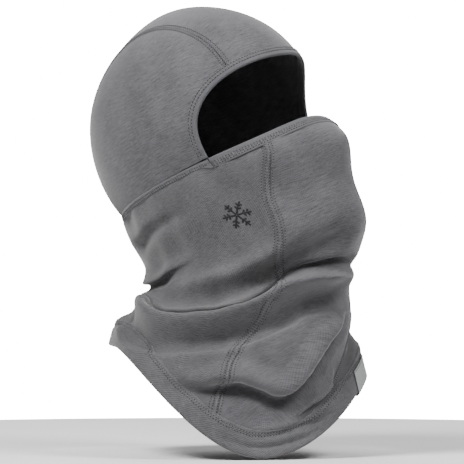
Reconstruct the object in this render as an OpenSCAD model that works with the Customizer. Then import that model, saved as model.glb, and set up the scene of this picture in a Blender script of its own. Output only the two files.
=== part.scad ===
// Knitted balaclava with a face cover that pulls down, in the shape it takes on a wearer
// whose head is turned to the left, tilted back and leaned a little to the right.
// +Z is up, -Y is the way the chest faces, and the origin is midway between the ears.

/* [Hood] */
// Length of the hood over the fabric, brow side to back
hood_length = 200; // [185:1:240]
// Breadth of the hood over the fabric
hood_breadth = 158; // [150:1:190]
// Height of the crown above the joining band
crown_height = 136; // [120:1:165]
// Height of the hood's broadest level above the joining band
broadest_level = 41; // [30:1:52]
// Width of the crown panel at the brow
crown_front_width = 94; // [60:1:110]
// Width of the crown panel at the nape
crown_back_width = 66; // [40:1:90]

/* [Face cover] */
// Reach of the face cover's top edge in front of the ears
bridge_reach = 102; // [90:1:120]
// Reach at the tip of the nose
nose_reach = 115; // [98:1:132]
// Drop of the nose tip below the joining band
nose_drop = 18; // [12:1:24]
// Reach at the mouth
mouth_reach = 106; // [92:1:122]
// Drop of the mouth below the joining band
mouth_drop = 50; // [40:1:60]
// Reach at the chin
chin_reach = 100; // [85:1:118]
// Drop of the chin below the joining band
chin_drop = 88; // [75:1:105]
// Breadth of the garment at the joining band
band_breadth = 150; // [140:1:176]
// Reach of the joining band behind the ears
nape_reach = 98; // [85:1:116]

/* [Pose] */
// Turn of the head to the wearer's left
head_turn = 40; // [0:1:50]
// Tilt of the head backwards
head_tilt = 22; // [0:1:28]
// Lean of the head to the wearer's right
head_lean = 6; // [0:1:10]
// Turn of the hem, which follows the head part of the way
hem_turn = 15; // [0:1:25]

/* [Eye opening] */
// Width of the eye opening between its corners
opening_width = 138; // [110:1:139]
// Height of the eye opening above the face cover
opening_height = 61; // [45:1:74]

/* [Neck and hem] */
// Breadth at the jaw
jaw_breadth = 136; // [115:1:165]
// Breadth at the throat
throat_breadth = 140; // [120:1:170]
// Breadth of the neck
neck_breadth = 150; // [130:1:185]
// Breadth of the yoke above the hem
yoke_breadth = 158; // [140:1:190]
// Breadth of the hem across the shoulders
hem_breadth = 200; // [175:1:240]
// Reach of the hem in front of its centre
hem_front_reach = 100; // [85:1:120]
// Reach of the hem behind its centre
hem_back_reach = 88; // [75:1:106]
// Depth of the hem at the shoulders below the ears
shoulder_drop = 148; // [135:1:178]
// How much lower the hem is on the chest than at the shoulders
chest_drop = 76; // [50:1:88]
// How much lower the hem is on the back than at the shoulders
back_drop = 10; // [0:1:20]
// Width of the hem
hem_width = 21; // [18:1:26]

/* [Fabric and trims] */
// Thickness of the knitted fabric
fabric = 1.2; // [0.8:0.1:1.6]
// Thickness of the folded bindings and of the hem
folded = 2.8; // [2.4:0.1:3.4]
// Width of the eye opening's binding
binding_width = 7; // [5:0.5:9]
// Width of the face cover's top edge band
edge_band_width = 10; // [8:0.5:13]
// Width of the joining band
joining_width = 6; // [4:0.5:8]
// Gap between panels where they are sewn edge to edge
seam_gap = 0.4; // [0.2:0.1:0.8]
// Gap between the free face edge and its neighbours
free_gap = 1.2; // [1:0.1:2]
// Gap between the hood panels and the joining band
band_gap = 0.8; // [0.6:0.1:1.4]
// Width of a flatlock seam's stitching
flatlock_width = 5; // [3:0.5:6]
// Width of a coverstitch
coverstitch_width = 3; // [2:0.5:4]
// Height of the stitching threads
thread = 0.4; // [0.3:0.1:0.6]
// Gap between the stitching and the fabric under it
thread_gap = 0.35; // [0.3:0.05:0.5]
// Thickness of the elastic tapes
elastic = 0.7; // [0.5:0.1:0.9]

/* [Labels and print] */
// Width of the loop label on the hem
label_width = 28; // [20:1:34]
// Height of the loop label up the hem
label_height = 18; // [14:1:21]
// Thickness of the labels
label_tape = 0.5; // [0.4:0.1:0.8]
// Gap between the loop label and the hem inside it
label_gap = 0.85; // [0.75:0.05:1.2]
// Place of the loop label round the garment, to the wearer's left of the front
label_angle = 47; // [42:1:60]
// Width of the care label
care_width = 24; // [18:1:30]
// Length of the care label
care_length = 20; // [14:1:24]
// Width of the printed snowflake
print_width = 24; // [16:1:30]
// Thickness of the print
print_film = 0.2; // [0.15:0.05:0.3]

/* [Hidden] */
degree = 180 / PI;

// Directions of the head: ahead, to the wearer's left and up
level_side = [cos(head_turn), sin(head_turn), 0];
ahead = [sin(head_turn) * cos(head_tilt), -cos(head_turn) * cos(head_tilt), sin(head_tilt)];
upright = cross(ahead, level_side);
left = level_side * cos(head_lean) + upright * sin(head_lean);
up = upright * cos(head_lean) - level_side * sin(head_lean);
function head_point(f, l, u) = ahead * f + left * l + up * u;
function mix(p, q, share) = p + (q - p) * share;
function unit(p) = p / norm(p);
function soft_step(x) = let (y = max(0, min(1, x))) y * y * (3 - 2 * y);

// The hood: an ellipsoid above the joining band, swollen to meet the band's outline.
// Its places are given by a turn round the head and a level, both in degrees.
hood_rise = crown_height - broadest_level;
band_level = asin(-broadest_level / hood_rise);
hood_front = hood_length / 2 - 5;
hood_back = hood_length / 2 + 5;
swell_levels = 45;
function swell(level) = pow(1 - min(1, max(0, (level - band_level) / swell_levels)), 2);
crown_taper = 0.14;
function taper(level) = cos(level) * (1 - crown_taper * pow(max(0, sin(level)), 4));
function hood_reach(turn, level) =
    let (own = cos(turn) > 0 ? hood_front : hood_back, ring = cos(turn) > 0 ? bridge_reach : nape_reach)
    own * taper(level) + (ring - own * cos(band_level)) * swell(level);
function hood_half(level) =
    hood_breadth / 2 * taper(level) + (band_breadth - hood_breadth * cos(band_level)) / 2 * swell(level);
function hood(turn, level) = head_point(hood_reach(turn, level) * cos(turn), -hood_half(level) * sin(turn),
    broadest_level + hood_rise * sin(level));
function heading(turn, level) = [cos(level) * cos(turn), cos(level) * sin(turn), sin(level)];
function hood_on(way) = let (w = unit(way)) hood(atan2(w.y, w.x), asin(w.z));

// The eye opening's outline is a rounded arch above the band, widened by an offset in millimetres
corner_turn = asin(opening_width / band_breadth);
opening_levels = asin((opening_height - broadest_level) / hood_rise) - band_level;
arch_power = 2.9;
function arch(bearing, offset) =
    let (wide = corner_turn + offset / bridge_reach * degree,
        high = opening_levels + offset / hood_rise * degree,
        size = 1 / pow(pow(abs(cos(bearing)) / wide, arch_power) + pow(abs(sin(bearing)) / high, arch_power),
            1 / arch_power))
    [size * cos(bearing), band_level + size * sin(bearing)];
function arch_heading(bearing, offset) = let (a = arch(bearing, offset)) heading(a[0], a[1]);

// The crown panel runs from the brow over the top to the nape
lift = band_gap / hood_rise * degree;
panel_offset = binding_width + seam_gap;
seam_bearing = atan2(opening_levels, asin(crown_front_width / hood_breadth));
function nape_heading(across) =
    heading(180 - across * asin(crown_back_width / band_breadth), band_level + lift);
function crown_way(along, across) =
    let (front = arch_heading(90 + across * (seam_bearing - 90), panel_offset),
        back = nape_heading(across),
        side = mix(front.y, back.y, along),
        front_angle = atan2(front.z, front.x),
        back_angle = atan2(back.z, back.x) + 360,
        angle = mix(front_angle, back_angle, along),
        rest = sqrt(1 - side * side))
    [rest * cos(angle), side, rest * sin(angle)];
crown = function(a, b) hood_on(crown_way(a, 2 * b - 1));

// A side panel is three-cornered: crown seam, eye opening and joining band
seam_share = seam_gap / crown_front_width * 2;
side_end = 0.97;
corner_start = corner_turn + panel_offset / bridge_reach * degree;
nape_end = 180 - asin(crown_back_width / band_breadth) - 1;
function side_way(along, down) =
    let (w = along * side_end,
        top = crown_way(w, 1 + seam_share),
        bottom = heading(mix(corner_start, nape_end, w), band_level + lift),
        first_top = crown_way(0, 1 + seam_share),
        first_bottom = heading(corner_start, band_level + lift),
        edge = arch_heading(mix(seam_bearing - 0.8, 0.5, down), panel_offset))
    mix(top, bottom, down) + (edge - mix(first_top, first_bottom, down)) * pow(1 - w, 2);
side_right = function(a, b) hood_on(side_way(a, b));
side_left = function(a, b) let (way = side_way(1 - a, b)) hood_on([way.x, -way.y, way.z]);

// The face and neck: rings from the joining band down to the hem.
// Each ring has a front point, a back point, half its breadth, the lift of its sides and how pointed it is.
nape = head_point(-nape_reach, 0, 0);
chin = head_point(chin_reach, 0, -chin_drop);
RINGS = [
    [head_point(bridge_reach, 0, 0), nape, band_breadth / 2, 0, 1, up],
    [head_point(nose_reach, 0, -nose_drop), nape + [0, 0, -9], band_breadth / 2, 0, 1.12, up],
    [head_point(mouth_reach, 0, -mouth_drop), nape + [4, -4, -21], band_breadth / 2 - 2, 0, 1.12, up],
    [chin, nape + [10, -11, -35], jaw_breadth / 2, 0, 1.08, up],
    [chin + [-17, 10, -40], nape + [20, -19, -52], throat_breadth / 2, 0, 1, [0, 0, 1]],
    [chin + [-20, 5, -68], nape + [16, -16, -68], neck_breadth / 2, 6, 1, [0, 0, 1]],
    [chin + [-30, -6, -108], nape + [15, -12, -82], yoke_breadth / 2, 24, 1, [0, 0, 1]]];
hem_top = len(RINGS);
hem_centre = [6, -13];
hem_corner = 0.8;
hem_flare = 5;
hem_lean = 9;
centre_share = nape_reach / (nape_reach + bridge_reach);
function signed_power(x, power) = sign(x) * pow(abs(x), power);
function worn_ring(r, turn) =
    let (middle = mix(r[1], r[0], centre_share),
        side = unit(cross(r[5], r[0] - r[1])),
        tip = cos(turn) > 0 ? (r[0] - middle) * pow(cos(turn), r[4]) : (middle - r[1]) * cos(turn))
    middle + tip - side * r[2] * signed_power(sin(turn), r[4]) + [0, 0, r[3] * pow(abs(sin(turn)), 1.5)];
function hem_ring(turn, rise) =
    let (a = turn - hem_turn,
        reach = (cos(a) > 0 ? hem_front_reach : hem_back_reach) - rise * hem_flare,
        drop = cos(a) > 0 ? chest_drop : back_drop)
    [hem_centre.x - signed_power(sin(a), hem_corner) * (hem_breadth / 2 - rise * hem_flare),
        hem_centre.y - signed_power(cos(a), hem_corner) * reach,
        rise * hem_width - shoulder_drop + hem_lean * sin(a) - drop * (1 - pow(abs(sin(a)), 1.5))];
function ring(i, turn) =
    i < 0 ? 2 * ring(0, turn) - ring(1, turn) :
    i < hem_top ? worn_ring(RINGS[i], turn) :
    hem_ring(turn, hem_top + 1 - i);
function spline(a, b, c, d, x) =
    b + x * (c - a) / 2 + x * x * (a - 2.5 * b + 2 * c - d / 2) + x * x * x * (1.5 * (b - c) + (d - a) / 2);
function tube(turn, drop) =
    let (i = max(0, min(hem_top, floor(drop))))
    i == hem_top ? mix(ring(i, turn), ring(i + 1, turn), drop - i) :
    spline(ring(i - 1, turn), ring(i, turn), ring(i + 1, turn), ring(i + 2, turn), drop - i);

// Strips along the band's outline and the hem are laid out in millimetres down the fabric
probe = 0.02;
function pace(turn, drop) = norm(tube(turn, drop + probe) - tube(turn, drop)) / probe;
function round_angle(turn) = abs(turn > 180 ? turn - 360 : turn);
function band_width(turn) =
    mix(edge_band_width, joining_width, soft_step((round_angle(turn) - corner_turn) / 6));
function band_place(turn, down) = tube(turn, down / pace(turn, 0));
function hem_place(turn, down) = tube(turn, hem_top + down / pace(turn, hem_top + 0.5));

// The face seams wander from the band to the hem, because the head is turned more than the hem.
// Each list holds a seam's turn at evenly spaced places down the cloth.
right_seam_turns = [41, 46, 48, 48, 35, 42, 45, 31];
left_seam_turns = [-41, -46, -48, -46, -41, -36, -28, -18];
function seam_turn(turns, share) =
    let (last = len(turns) - 1, i = max(0, min(last - 1, floor(share * last))))
    spline(turns[max(0, i - 1)], turns[i], turns[i + 1], turns[min(last, i + 2)], share * last - i);
function top_of_panel(turn) = (band_width(turn) + seam_gap) / pace(turn, 0);
function cloth(turn_share, near_turns, far_turns, wrap, down) =
    let (half_gap = seam_gap / band_breadth * degree,
        near = seam_turn(near_turns, down) + half_gap,
        far = seam_turn(far_turns, down) + wrap - half_gap,
        turn = mix(near, far, turn_share))
    tube(turn, mix(top_of_panel(turn), hem_top - 0.02, down));
face = function(a, b) cloth(a, left_seam_turns, right_seam_turns, 0, b);
neck = function(a, b) cloth(a, right_seam_turns, left_seam_turns, 360, b);

// Fabric made from a skin of places: outwards is the cross product of its two directions
function outwards(skin, a, b) =
    let (step = 0.004)
    unit(cross(skin(a + step, b) - skin(a - step, b), skin(a, b + step) - skin(a, b - step)));
function quad(p, q, r, s) = [[p, s, r], [p, r, q]];
module sheet(skin, columns, rows, outer, inner, closed = false) {
    across = closed ? columns : columns + 1;
    spots = [for (j = [0:rows], i = [0:across - 1]) [i / columns, j / rows]];
    normals = [for (s = spots) outwards(skin, s[0], s[1])];
    layer = len(spots);
    function at(i, j, side) = side * layer + j * across + i % across;
    points = concat(
        [for (k = [0:layer - 1]) skin(spots[k][0], spots[k][1]) + normals[k] * outer],
        [for (k = [0:layer - 1]) skin(spots[k][0], spots[k][1]) + normals[k] * inner]);
    skins = [for (j = [0:rows - 1], i = [0:columns - 1], face = concat(
        quad(at(i, j, 0), at(i + 1, j, 0), at(i + 1, j + 1, 0), at(i, j + 1, 0)),
        quad(at(i, j, 1), at(i, j + 1, 1), at(i + 1, j + 1, 1), at(i + 1, j, 1)))) face];
    rims = [for (i = [0:columns - 1], face = concat(
        quad(at(i, 0, 0), at(i, 0, 1), at(i + 1, 0, 1), at(i + 1, 0, 0)),
        quad(at(i + 1, rows, 0), at(i + 1, rows, 1), at(i, rows, 1), at(i, rows, 0)))) face];
    ends = closed ? [] : [for (j = [0:rows - 1], face = concat(
        quad(at(0, j + 1, 0), at(0, j + 1, 1), at(0, j, 1), at(0, j, 0)),
        quad(at(columns, j, 0), at(columns, j, 1), at(columns, j + 1, 1), at(columns, j + 1, 0)))) face];
    polyhedron(points, concat(skins, rims, ends));
}

// A strip with its own section, [millimetres across, height], swept along a skin of places
module strip(skin, columns, section) {
    sides = len(section);
    points = [for (i = [0:columns], s = section)
        skin(i / columns, s[0]) + outwards(skin, i / columns, s[0]) * s[1]];
    walls = [for (i = [0:columns - 1], k = [0:sides - 1], face = quad(
        i * sides + k, i * sides + (k + 1) % sides,
        (i + 1) * sides + (k + 1) % sides, (i + 1) * sides + k)) face];
    first = [for (k = [0:sides - 1]) k];
    last = [for (k = [sides - 1:-1:0]) columns * sides + k];
    polyhedron(points, concat(walls, [first, last]));
}
function fold(width, wall) = [[0, -folded / 2], [width, -folded / 2], [width, wall - folded / 2],
    [wall, wall - folded / 2], [wall, folded / 2 - wall], [width, folded / 2 - wall],
    [width, folded / 2], [0, folded / 2]];
function bar(from, to, bottom, top) = [[from, bottom], [to, bottom], [to, top], [from, top]];
fold_wall = folded / 2 - elastic / 2 - 0.25;
tape_inset = 0.5;

// Skins for the strips
corner_gap = 0.6;
opening_edge = function(a, down) let (p = arch(mix(corner_gap, 180 - corner_gap, a), down)) hood(p[0], p[1]);
free_end = corner_turn - 0.3;
face_edge = function(a, down) band_place(mix(-free_end, free_end, a), down);
joining_start = corner_turn + free_gap / bridge_reach * degree;
joining = function(a, down) band_place(mix(joining_start, 360 - joining_start, a), down);
hem_strip = function(a, down) hem_place(a * 360, down);
label_half = label_width / 2 / hem_front_reach * degree;
label_place = function(a, down) hem_place(mix(-label_angle - label_half, -label_angle + label_half, a), down);
care_half = care_width / 2 / nape_reach * degree;

module crown_panel() color([0.36, 0.36, 0.37]) sheet(crown, 26, 10, fabric / 2, -fabric / 2);
module hood_side_right() color([0.37, 0.37, 0.38]) sheet(side_right, 24, 14, fabric / 2, -fabric / 2);
module hood_side_left() color([0.37, 0.37, 0.38]) sheet(side_left, 24, 14, fabric / 2, -fabric / 2);
module eye_opening_binding() color([0.33, 0.33, 0.34])
    strip(opening_edge, 48, fold(binding_width, fold_wall));
module eye_opening_elastic() color([0.85, 0.85, 0.82])
    strip(opening_edge, 48,
        bar(fold_wall + tape_inset, binding_width - tape_inset, -elastic / 2, elastic / 2));
module eye_opening_stitching() color([0.28, 0.28, 0.29])
    strip(opening_edge, 48, bar(binding_width - coverstitch_width - 0.5, binding_width - 0.5,
        folded / 2 + thread_gap, folded / 2 + thread_gap + thread));
module crown_stitching(side) {
    half = flatlock_width / 2 / crown_front_width;
    line = function(a, b) let (across = side > 0 ? b : 1 - b)
        crown(mix(0.01, 0.985, a), (1 + side) / 2 + side * mix(-half, half, across));
    sheet(line, 26, 1, fabric / 2 + thread_gap + thread, fabric / 2 + thread_gap);
}
module crown_stitching_right() color([0.28, 0.28, 0.29]) crown_stitching(1);
module crown_stitching_left() color([0.28, 0.28, 0.29]) crown_stitching(-1);
module face_edge_band() color([0.33, 0.33, 0.34]) strip(face_edge, 48, fold(edge_band_width, fold_wall));
module face_edge_elastic() color([0.85, 0.85, 0.82])
    strip(face_edge, 48,
        bar(fold_wall + tape_inset, edge_band_width - tape_inset, -elastic / 2, elastic / 2));
module face_edge_stitching() color([0.28, 0.28, 0.29])
    strip(face_edge, 48, bar(edge_band_width - coverstitch_width - 1, edge_band_width - 1,
        folded / 2 + thread_gap, folded / 2 + thread_gap + thread));
module joining_band() color([0.33, 0.33, 0.34])
    strip(joining, 60, bar(0, joining_width, -folded / 2, folded / 2));
module joining_stitching() color([0.28, 0.28, 0.29])
    strip(joining, 60, bar(joining_width - coverstitch_width - 1, joining_width - 1,
        folded / 2 + thread_gap, folded / 2 + thread_gap + thread));
module face_panel() color([0.36, 0.36, 0.37]) sheet(face, 20, 26, fabric / 2, -fabric / 2);
module neck_panel() color([0.4, 0.4, 0.41]) sheet(neck, 44, 26, fabric / 2, -fabric / 2);
module face_seam_stitching(turns) {
    half = flatlock_width / 2 / bridge_reach * degree;
    line = function(a, b) let (turn = seam_turn(turns, b) + mix(-half, half, a))
        tube(turn, mix(top_of_panel(turn) + probe, hem_top - probe * 2, b));
    sheet(line, 1, 26, fabric / 2 + thread_gap + thread, fabric / 2 + thread_gap);
}
module face_seam_stitching_right() color([0.28, 0.28, 0.29]) face_seam_stitching(right_seam_turns);
module face_seam_stitching_left() color([0.28, 0.28, 0.29]) face_seam_stitching(left_seam_turns);
module bottom_hem() color([0.38, 0.38, 0.39])
    sheet(function(a, b) hem_strip(a, b * hem_width), 64, 2, folded / 2, -folded / 2, closed = true);
module hem_stitching() color([0.28, 0.28, 0.29])
    sheet(function(a, b) hem_strip(a, mix(1, 1 + coverstitch_width, b)), 64, 1,
        folded / 2 + thread_gap + thread, folded / 2 + thread_gap, closed = true);
module hem_label() color([0.6, 0.61, 0.6]) {
    face_height = folded / 2 + label_gap;
    below = hem_width + label_gap;
    strip(label_place, 6, [[hem_width - label_height, -face_height - label_tape],
        [below + label_tape, -face_height - label_tape], [below + label_tape, face_height + label_tape],
        [hem_width - label_height, face_height + label_tape], [hem_width - label_height, face_height],
        [below, face_height], [below, -face_height], [hem_width - label_height, -face_height]]);
}
module label_stitching() color([0.3, 0.3, 0.31])
    strip(label_place, 6, bar(hem_width - label_height + 1, hem_width - label_height + 2,
        folded / 2 + label_gap + label_tape + thread_gap,
        folded / 2 + label_gap + label_tape + thread_gap + thread));
module care_label() color([0.92, 0.92, 0.9]) {
    hang = function(a, down) band_place(180 + mix(-care_half, care_half, a), joining_width + down);
    strip(hang, 6, bar(1, 1 + care_length, -fabric / 2 - 1 - label_tape, -fabric / 2 - 1));
}

// A six-armed snowflake printed on the right cheek, drawn in millimetres on the fabric
print_turn = 64;
print_drop = 2.25;
print_pace = norm(tube(print_turn + 1, print_drop) - tube(print_turn - 1, print_drop)) / 2;
module printed_line(from, to, width) {
    way = unit(to - from);
    side = [-way.y, way.x] * width / 2;
    line = function(a, b) let (spot = mix(from, to, a) + mix(-side, side, b))
        tube(print_turn - spot.x / print_pace, print_drop - spot.y / pace(print_turn, print_drop));
    sheet(line, 3, 1, fabric / 2 + 0.05 + print_film, fabric / 2 + 0.05);
}
module cheek_print() color([0.08, 0.08, 0.09]) {
    reach = print_width / 2;
    stroke = print_width / 18;
    twig = 0.24;
    for (angle = [0:60:300]) {
        arm = [cos(angle), sin(angle)];
        printed_line(arm * 0.5, arm * reach, stroke);
        for (share = [0.45, 0.7], lean = [-60, 60])
            printed_line(arm * reach * share, arm * reach * share + [cos(angle + lean), sin(angle + lean)]
                * reach * twig, stroke);
    }
}

crown_panel();
hood_side_right();
hood_side_left();
eye_opening_binding();
eye_opening_elastic();
crown_stitching_right();
crown_stitching_left();
eye_opening_stitching();
face_edge_band();
face_edge_elastic();
face_edge_stitching();
face_panel();
neck_panel();
joining_band();
joining_stitching();
face_seam_stitching_right();
face_seam_stitching_left();
bottom_hem();
hem_stitching();
hem_label();
label_stitching();
care_label();
cheek_print();
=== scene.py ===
import math

import bmesh
import bpy
import numpy as np
from mathutils import Matrix, Vector


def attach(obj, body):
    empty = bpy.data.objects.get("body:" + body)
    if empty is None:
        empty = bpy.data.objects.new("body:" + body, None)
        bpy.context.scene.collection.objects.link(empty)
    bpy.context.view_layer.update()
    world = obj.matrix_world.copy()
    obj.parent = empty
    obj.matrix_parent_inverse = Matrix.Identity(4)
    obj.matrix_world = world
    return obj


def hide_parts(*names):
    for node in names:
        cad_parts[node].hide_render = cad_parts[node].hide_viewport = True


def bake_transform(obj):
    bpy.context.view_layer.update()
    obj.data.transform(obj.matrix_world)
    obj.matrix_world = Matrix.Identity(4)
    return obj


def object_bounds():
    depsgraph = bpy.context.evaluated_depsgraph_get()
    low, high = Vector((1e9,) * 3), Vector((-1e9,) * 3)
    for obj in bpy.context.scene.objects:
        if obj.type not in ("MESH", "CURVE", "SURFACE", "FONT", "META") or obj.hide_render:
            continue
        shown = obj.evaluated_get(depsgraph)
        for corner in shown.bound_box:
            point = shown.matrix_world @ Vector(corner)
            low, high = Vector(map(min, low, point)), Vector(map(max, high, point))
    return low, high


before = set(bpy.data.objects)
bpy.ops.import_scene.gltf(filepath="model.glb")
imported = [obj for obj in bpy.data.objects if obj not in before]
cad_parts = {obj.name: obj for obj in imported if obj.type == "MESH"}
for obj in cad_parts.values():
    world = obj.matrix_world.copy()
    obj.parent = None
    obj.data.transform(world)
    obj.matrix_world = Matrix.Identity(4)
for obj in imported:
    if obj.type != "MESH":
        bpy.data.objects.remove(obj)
cad_box = [list(corner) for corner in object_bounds()]

# ----------------------------------------------------------------------------------------------
# Hood panels: a crown panel from brow to nape and a three-cornered panel over each ear.
# They are cut from heather merino jersey, with its courses level round the head, and are sewn
# with their edges just lapped, so each edge stands up a little where the flatlock gathers it.
# ----------------------------------------------------------------------------------------------
head_turn, head_tilt, head_lean = np.radians((40, 22, 6))
hood_length, hood_breadth, crown_height, broadest_level = 0.200, 0.158, 0.136, 0.041
crown_front_width, crown_back_width = 0.094, 0.066
bridge_reach, nape_reach, band_breadth = 0.102, 0.098, 0.150
opening_width, opening_height, binding_width = 0.138, 0.061, 0.007
fabric, seam_lap = 0.0012, 0.0004

level_side = np.array((math.cos(head_turn), math.sin(head_turn), 0))
ahead = np.array((
    math.sin(head_turn) * math.cos(head_tilt),
    -math.cos(head_turn) * math.cos(head_tilt),
    math.sin(head_tilt)))
upright = np.cross(ahead, level_side)
left = level_side * math.cos(head_lean) + upright * math.sin(head_lean)
up = upright * math.cos(head_lean) - level_side * math.sin(head_lean)


def head_point(f, l, u):
    """A place given forwards, to the wearer's left and upwards from the middle of the head"""
    return (np.asarray(f, float)[..., None] * ahead + np.asarray(l, float)[..., None] * left
            + np.asarray(u, float)[..., None] * up)


def mix(p, q, share):
    return p + (q - p) * share


def soft_step(x):
    y = np.clip(x, 0, 1)
    return y * y * (3 - 2 * y)


def bell(distance, width):
    return np.exp(-(distance / width) ** 2)


hood_rise = crown_height - broadest_level
band_level = math.asin(-broadest_level / hood_rise)
hood_front, hood_back = hood_length / 2 - 0.005, hood_length / 2 + 0.005
swell_levels, crown_taper = math.radians(45), 0.14


def hood(turn, level):
    """The hood's surface: an ellipsoid that swells to meet the joining band's outline"""
    swell = (1 - np.clip((level - band_level) / swell_levels, 0, 1)) ** 2
    taper = np.cos(level) * (1 - crown_taper * np.maximum(0, np.sin(level)) ** 4)
    own = np.where(np.cos(turn) > 0, hood_front, hood_back)
    ring = np.where(np.cos(turn) > 0, bridge_reach, nape_reach)
    reach = own * taper + (ring - own * math.cos(band_level)) * swell
    half = (hood_breadth * taper + (band_breadth - hood_breadth * math.cos(band_level)) * swell) / 2
    return head_point(reach * np.cos(turn), -half * np.sin(turn), broadest_level + hood_rise * np.sin(level))


def heading(turn, level):
    turn, level = np.broadcast_arrays(turn, level)
    return np.stack((np.cos(level) * np.cos(turn), np.cos(level) * np.sin(turn), np.sin(level)), -1)


def hood_on(way):
    way = way / np.linalg.norm(way, axis=-1, keepdims=True)
    return hood(np.arctan2(way[..., 1], way[..., 0]), np.arcsin(way[..., 2]))


corner_turn = math.asin(opening_width / band_breadth)
opening_levels = math.asin((opening_height - broadest_level) / hood_rise) - band_level
arch_power = 2.9


def arch(bearing, offset):
    """The eye opening's outline above the band, widened by an offset"""
    wide = corner_turn + offset / bridge_reach
    high = opening_levels + offset / hood_rise
    size = ((np.abs(np.cos(bearing)) / wide) ** arch_power
            + (np.abs(np.sin(bearing)) / high) ** arch_power) ** (-1 / arch_power)
    return size * np.cos(bearing), band_level + size * np.sin(bearing)


tuck = 0.0007
lift = -tuck / hood_rise
panel_offset = binding_width - tuck
seam_bearing = math.atan2(opening_levels, math.asin(crown_front_width / hood_breadth))
nape_turn = math.asin(crown_back_width / band_breadth)


def crown_way(along, across):
    front = heading(*arch(math.pi / 2 + across * (seam_bearing - math.pi / 2), panel_offset))
    back = heading(math.pi - across * nape_turn, band_level + lift)
    side = mix(front[..., 1], back[..., 1], along)
    front_angle = np.arctan2(front[..., 2], front[..., 0])
    back_angle = np.arctan2(back[..., 2], back[..., 0]) + 2 * math.pi
    angle = mix(front_angle, back_angle, along)
    rest = np.sqrt(1 - side * side)
    return np.stack((rest * np.cos(angle), side, rest * np.sin(angle)), -1)


def crown(a, b):
    return hood_on(crown_way(a, 2 * b - 1))


seam_share = -seam_lap / crown_front_width * 2
side_end = 0.985
corner_start = corner_turn + panel_offset / bridge_reach
nape_end = math.pi - nape_turn - math.radians(1)
opening_bearings = seam_bearing - math.radians(0.8), math.radians(0.5)


def side_way(along, down):
    w = along * side_end
    top = crown_way(w, 1 + seam_share)
    bottom = heading(mix(corner_start, nape_end, w), band_level + lift)
    first_top = crown_way(0 * w, 1 + seam_share)
    first_bottom = heading(corner_start + 0 * w, band_level + lift)
    edge = heading(*arch(mix(*opening_bearings, down), panel_offset))
    down, fade = down[..., None], ((1 - w) ** 2)[..., None]
    return mix(top, bottom, down) + (edge - mix(first_top, first_bottom, down)) * fade


def side_right(a, b):
    return hood_on(side_way(a, b))


def side_left(a, b):
    return hood_on(side_way(1 - a, b) * (1, -1, 1))


def measured(places, axis):
    """How far each place lies along its row or column of the sheet"""
    steps = np.linalg.norm(np.diff(places, axis=axis), axis=-1)
    zero = np.zeros_like(np.take(steps, [0], axis))
    return np.cumsum(np.concatenate((zero, steps), axis), axis)


def outwards(places, closed=False):
    """The outward direction at every place of a sheet"""
    if closed:
        across = np.roll(places, -1, 1) - np.roll(places, 1, 1)
        across[:, 0] = across[:, -1] = places[:, 1] - places[:, -2]
    else:
        across = np.gradient(places, axis=1)
    normal = np.cross(across, np.gradient(places, axis=0))
    return normal / np.maximum(np.linalg.norm(normal, axis=-1, keepdims=True), 1e-12)


def gathered(x, share):
    """Brings the rows of a sheet closer together towards its two edges"""
    return x - share * np.sin(2 * math.pi * x) / (2 * math.pi)


def finished(name, bm, materials, finish=None, body=None, wall=0.0, stretch=None):
    """Makes the bmesh a piece, smooth, with its materials and its wall. A piece with a finish stands for
    the plain part of the same name, and rides on its body; with a stretch, its place is only baked into its
    mesh."""
    mesh = bpy.data.meshes.new(name)
    bm.to_mesh(mesh)
    bm.free()
    mesh.shade_smooth()
    for material in materials:
        mesh.materials.append(material)
    piece = bpy.data.objects.new("worn_" + name if finish else name, mesh)
    bpy.context.scene.collection.objects.link(piece)
    if finish:
        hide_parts(name)
    if wall:
        solid = piece.modifiers.new("wall", "SOLIDIFY")
        solid.thickness, solid.offset = wall, 0
    if body:
        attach(piece, body)
    if stretch:
        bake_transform(piece)
    return piece


def cloth(name, skin, columns, rows, material, wall=fabric, dense=(0.0, 0.0), relief=None, grain=None,
          closed=False, **hold):
    """A sheet of cloth laid on its skin. relief(left, right, top, bottom) raises it by its distances
    to its four edges, and grain(along, down) turns its own map, in metres, with the courses across."""
    bm = bmesh.new()
    bmesh.ops.create_grid(bm, x_segments=columns, y_segments=rows, size=0.5)
    flat = np.array([v.co[:2] for v in bm.verts]) + 0.5
    column, row = np.rint(flat * (columns, rows)).astype(int).T
    a, b = np.meshgrid(gathered(np.linspace(0, 1, columns + 1), dense[0]),
                       gathered(np.linspace(0, 1, rows + 1), dense[1]))
    places = skin(a, b)
    normals = outwards(places, closed)
    along, down = measured(places, 1), measured(places, 0)
    if relief is not None:
        rise = relief(along, along[:, -1:] - along, down, down[-1:] - down)
        places = places + normals * rise[..., None]
    course, wale = np.broadcast_to(along.mean(0), along.shape), down
    if grain is not None:
        course, wale = grain(course, wale, places)
    for vert, place in zip(bm.verts, places[row, column]):
        vert.co = place
    bm.verts.index_update()
    layer = bm.loops.layers.uv.new("cloth")
    chart = np.stack((course, wale), -1)[row, column]
    for face in bm.faces:
        for loop in face.loops:
            loop[layer].uv = chart[loop.vert.index]
    if closed:
        bmesh.ops.remove_doubles(bm, verts=bm.verts, dist=1e-6)
    return finished(name, bm, [material], wall=wall, **hold)


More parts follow.
